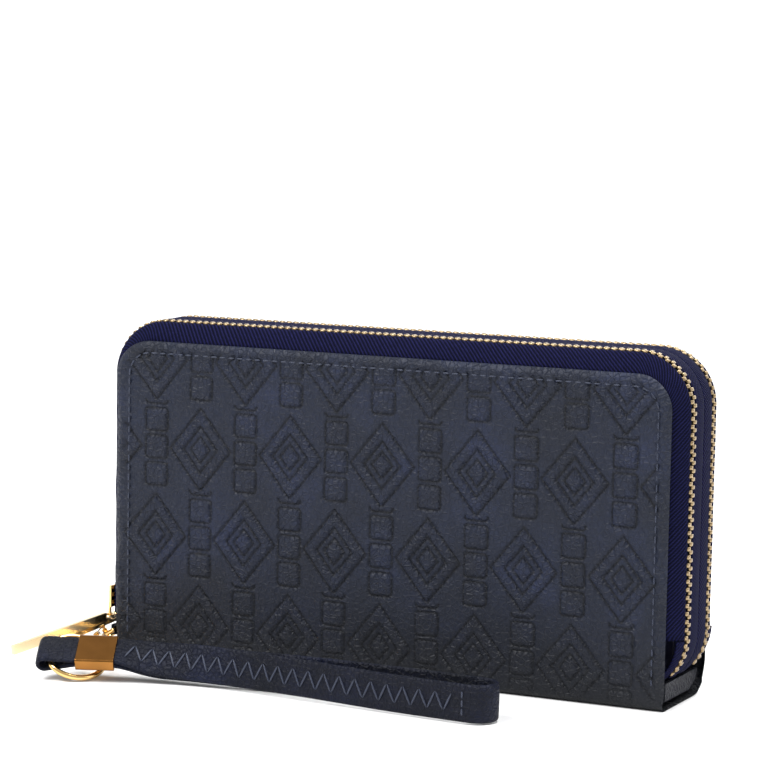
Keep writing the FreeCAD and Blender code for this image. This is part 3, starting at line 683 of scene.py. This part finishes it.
def strap_stops():
    """Sections of the strap's two runs: middle, direction across and direction through."""
    front, back = [], []
    for reach in (0.1, 7.0):
        middle = clamp_centre + along0 * reach
        front.append((middle + normal0 * 0.8, across0, normal0))
        back.append((middle - normal0 * 0.8, across0, normal0))
    before = front[-1][0]
    for index, (x, y, low, lean_degrees, gap) in enumerate(stops):
        lean = math.radians(lean_degrees)
        rise = band_width / 2 * math.cos(lean) + band / 2 * math.sin(lean)
        middle = np.array([x, y, low + rise])
        if index + 1 == len(stops):
            heading = np.array([1.0, 0, 0])
        else:
            heading = np.array([stops[index + 1][0] - before[0], stops[index + 1][1] - before[1], 0])
            heading /= np.linalg.norm(heading)
        level = np.array([-heading[1], heading[0], 0])
        across = level * math.sin(lean) + np.array([0, 0, math.cos(lean)])
        through = np.cross(heading, across)
        through /= np.linalg.norm(through)
        front.append((middle, across, through))
        back.append((middle - through * (band + gap), across, through))
        before = middle
    return front, back


def smooth_run(sections, per_span):
    """A Catmull-Rom run through sections."""
    sections = np.array(sections)
    out = []
    count = len(sections)
    for i in range(count - 1):
        p0, p1, p2, p3 = (sections[min(max(i + step, 0), count - 1)] for step in (-1, 0, 1, 2))
        for t in np.linspace(0, 1, per_span, endpoint=False):
            out.append(0.5 * (2 * p1 + (p2 - p0) * t + (2 * p0 - 5 * p1 + 4 * p2 - p3) * t ** 2
                              + (3 * p1 - p0 - 3 * p2 + p3) * t ** 3))
    out.append(sections[-1])
    return out


front_run, back_run = strap_stops()
front_path = smooth_run(front_run, 14)
back_path = smooth_run(back_run, 14)
start, finish = front_path[-1][0], back_path[-1][0]
bend_middle = (start + finish) / 2
bend_radius = np.linalg.norm(start - bend_middle)
bend = []
for t in np.linspace(0, math.pi, 26)[1:-1]:
    heading_out = np.array([math.sin(t), -math.cos(t), 0])
    bend.append((bend_middle + heading_out * bend_radius, np.array([0, 0, 1.0]), heading_out))
loop_path = [tuple(p) for p in front_path] + bend + [(p[0], p[1], -np.asarray(p[2])) for p in back_path[::-1]]


def band_profile(width, thickness, count=10):
    """A strap's cross-section: a slightly crowned face and round edges, as (across, through)."""
    half = width / 2
    r = thickness / 2
    points = []
    for t in np.linspace(-1, 1, count):
        points.append((t * (half - r), r + 0.14 * (1 - t * t)))
    for t in np.linspace(0, math.pi, 6)[1:-1]:
        points.append((half - r + r * math.sin(t), r * math.cos(t)))
    for t in np.linspace(1, -1, count):
        points.append((t * (half - r), -r - 0.06 * (1 - t * t)))
    for t in np.linspace(0, math.pi, 6)[1:-1]:
        points.append((-half + r - r * math.sin(t), -r * math.cos(t)))
    return points


def strip(name, path, profile, material, body, node_names):
    frames = []
    for centre, across, through in path:
        across = np.asarray(across) / np.linalg.norm(across)
        through = np.asarray(through) / np.linalg.norm(through)
        frames.append((np.asarray(centre), across, through))
    vertices, faces = sweep(frames, profile)
    distance = np.concatenate([[0], np.cumsum([np.linalg.norm(frames[i + 1][0] - frames[i][0])
                                               for i in range(len(frames) - 1)])])
    count = len(profile)
    rest = np.zeros((len(frames) * count, 3))
    rest[:, 0] = np.repeat(distance, count)
    rest[:, 1] = np.tile([p[0] for p in profile], len(frames))
    rest[:, 2] = np.tile([p[1] for p in profile], len(frames))
    piece(name, vertices, faces, material, body, node_names, rest=rest)


strip("wrist_strap_band", loop_path, band_profile(band_width, band - 0.1), strap_leather, "wrist_strap",
      ("strap_front_run", "strap_back_run", "strap_end_bend"))


def fold_path():
    """The strap's leather from the clamp round the ring and back."""
    clamp_half, ring_reach, radius = 6.0, 9.8, 2.05
    eye = clamp_centre - along0 * (clamp_half + ring_reach) - normal0 * 0.9
    upper = clamp_centre + normal0 * 0.8 + along0 * 0.05
    path = [(upper - along0 * d, across0, normal0) for d in (0.0, 3.0, 6.2)]
    top = eye + normal0 * radius
    before = path[-1][0]
    for t in (0.3, 0.55, 0.8):
        ease = t * t * (3 - 2 * t)
        path.append((before + (top - before) * t + normal0 * 0.5 * (ease - t), across0, normal0))
    for angle in np.linspace(0, math.pi, 13):
        out = normal0 * math.cos(angle) - along0 * math.sin(angle)
        path.append((eye + out * radius, across0, out))
    low = eye - normal0 * radius
    target = clamp_centre - normal0 * 0.8 - along0 * 6.2
    for t in (0.25, 0.5, 0.75, 1.0):
        path.append((low + (target - low) * t, across0, -normal0))
    path.append((target + along0 * 6.0, across0, -normal0))
    return path


strip("strap_fold_band", fold_path(), band_profile(band_width - 0.3, band - 0.15), strap_leather,
      "wrist_strap", ("strap_fold",))


def zigzag():
    """Zigzag stitches on the outward face of the strap's front run."""
    path = front_path
    distance = [0.0]
    for a, b in zip(path[:-1], path[1:]):
        distance.append(distance[-1] + np.linalg.norm(b[0] - a[0]))
    distance = np.array(distance)
    stack = np.array([np.concatenate([p[0], p[1], p[2]]) for p in path])

    def at(s, across):
        values = [np.interp(s, distance, stack[:, k]) for k in range(9)]
        centre, a, n = (np.array(values[k:k + 3]) for k in (0, 3, 6))
        a /= np.linalg.norm(a)
        n /= np.linalg.norm(n)
        return centre + a * across + n * (band / 2 + 0.14)

    ends = []
    s, up = 9.0, True
    half_pitch, reach = 2.75, 2.6
    while s + half_pitch < distance[-1] - 3.0:
        low, high = (-reach, reach) if up else (reach, -reach)
        a, b = at(s + 0.12, low), at(s + half_pitch - 0.12, high)
        ends.append((a, b))
        s += half_pitch
        up = not up
    for step in range(3):
        ends.append((at(distance[-1] - 2.0, -3.6 + step * 2.6), at(distance[-1] - 2.0, -1.6 + step * 2.6)))
    vertices, faces = capsules(ends, 0.32)
    piece("strap_zigzag_stitches", vertices, faces, thread, "wrist_strap")


zigzag()


# ---------------------------------------------------------------- studio and camera
floor_mesh = bpy.data.meshes.new("floor")
floor_z, bend_start, sweep_radius = -0.0002, 0.9, 1.2
sweep_line = [(-3.0, floor_z), (bend_start, floor_z)]
sweep_line += [(bend_start + sweep_radius * math.sin(t), sweep_radius - sweep_radius * math.cos(t) + floor_z)
               for t in np.linspace(0, 1.5, 24)[1:]]
sweep_line.append((2.15, 4.0))
floor_mesh.from_pydata([(x, y, z) for y, z in sweep_line for x in (-5.0, 5.0)], [],
                       [(2 * i, 2 * i + 1, 2 * i + 3, 2 * i + 2) for i in range(len(sweep_line) - 1)])
floor_mesh.polygons.foreach_set("use_smooth", [True] * len(floor_mesh.polygons))
floor_mesh.materials.append(floor_material())
floor = bpy.data.objects.new("floor", floor_mesh)
bpy.context.scene.collection.objects.link(floor)

world = bpy.data.worlds.new("studio")
bpy.context.scene.world = world
world.use_nodes = True
world.node_tree.nodes["Background"].inputs["Color"].default_value = (1.0, 1.0, 1.0, 1)
world.node_tree.nodes["Background"].inputs["Strength"].default_value = 0.62


def area_light(name, place, target, size, power):
    data = bpy.data.lights.new(name, "AREA")
    data.shape = "RECTANGLE"
    data.size, data.size_y = size
    data.energy = power
    light = bpy.data.objects.new(name, data)
    light.location = place
    light.rotation_euler = (Vector(target) - Vector(place)).to_track_quat("-Z", "Y").to_euler()
    bpy.context.scene.collection.objects.link(light)


area_light("key_softbox", (-0.45, -0.65, 1.05), (0, 0, 0.05), (0.5, 0.5), 17.0)
area_light("right_softbox", (1.0, 0.0, 0.7), (0.05, 0, 0.05), (0.5, 0.8), 2.5)
area_light("top_softbox", (0.42, 0.15, 1.2), (0.05, 0, 0.05), (0.5, 0.5), 14.0)
area_light("backdrop_softbox", (0.0, 0.9, 1.7), (0, 2.3, 1.2), (2.4, 0.6), 60.0)

az, el, roll = math.radians(25.33), math.radians(6.50), math.radians(1.07)
back = Vector((math.sin(az) * math.cos(el), -math.cos(az) * math.cos(el), math.sin(el)))
right = Vector((math.cos(az), math.sin(az), 0))
up = back.cross(right)
cam_right = right * math.cos(roll) + up * math.sin(roll)
cam_up = up * math.cos(roll) - right * math.sin(roll)
target = Vector((-5.33, -3.0, 88.68)) * MM
camera_data = bpy.data.cameras.new("camera")
camera_data.lens = 138.3
camera_data.sensor_width = 36.0
camera = bpy.data.objects.new("camera", camera_data)
bpy.context.scene.collection.objects.link(camera)
camera.matrix_world = Matrix((
    (cam_right.x, cam_up.x, back.x, target.x + back.x * 0.942),
    (cam_right.y, cam_up.y, back.y, target.y + back.y * 0.942),
    (cam_right.z, cam_up.z, back.z, target.z + back.z * 0.942),
    (0, 0, 0, 1)))
bpy.context.scene.camera = camera
bpy.context.scene.view_settings.view_transform = "Standard"
